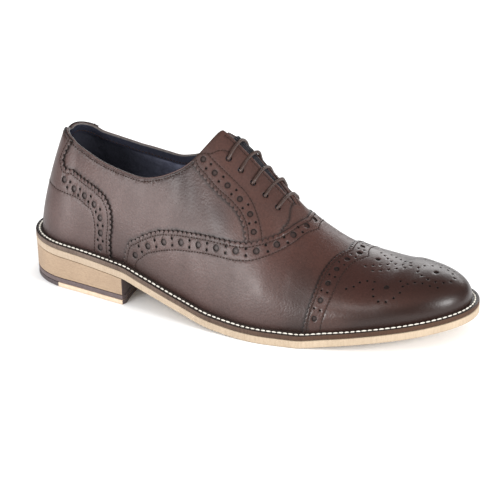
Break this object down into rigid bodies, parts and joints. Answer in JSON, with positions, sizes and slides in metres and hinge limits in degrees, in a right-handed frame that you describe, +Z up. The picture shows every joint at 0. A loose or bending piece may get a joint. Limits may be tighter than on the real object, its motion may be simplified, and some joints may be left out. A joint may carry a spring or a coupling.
{
  "type": "brogue shoe",
  "caption": "Low brown leather dress shoe for the right foot, closed lacing over a tongue, cap toe, stacked heel, welted leather sole.",
  "frame": {"origin": "on the floor, below the middle of the shoe's bounding box", "axes": "+X towards the toe, -Y towards the outer (lateral) side, +Z up"},
  "size_m": [0.304, 0.106, 0.1123],
  "materials": {
    "outsole": "pale natural edge, slightly rough",
    "welt": "dark brown, waxed",
    "insole": "dark navy lining leather",
    "heel_stack": "tan stacked leather, slanting grain",
    "heel_lift": "dark lift",
    "top_piece_leather": "pale leather",
    "top_piece_rubber": "matt black rubber",
    "upper": "taupe brown calf, soft shine",
    "vamp": "brown calf, soft shine",
    "toe_cap": "burnished dark brown, glossy",
    "heel_counter": "taupe brown calf, soft shine",
    "facing": "brown calf, soft shine",
    "tongue": "dark, soft",
    "lace": "waxed round cotton"
  },
  "bodies": {
    "root": {"outsole": "outsole", "welt": "welt", "insole": "insole", "heel_stack": "heel_stack", "heel_lift": "heel_lift", "top_piece_leather": "top_piece_leather", "top_piece_rubber": "top_piece_rubber", "upper": "upper", "vamp": "vamp", "toe_cap": "toe_cap", "heel_counter": "heel_counter", "facing_lateral": "facing", "facing_medial": "facing", "tongue": "tongue", "lace": "lace"}
  },
  "joints": []
}
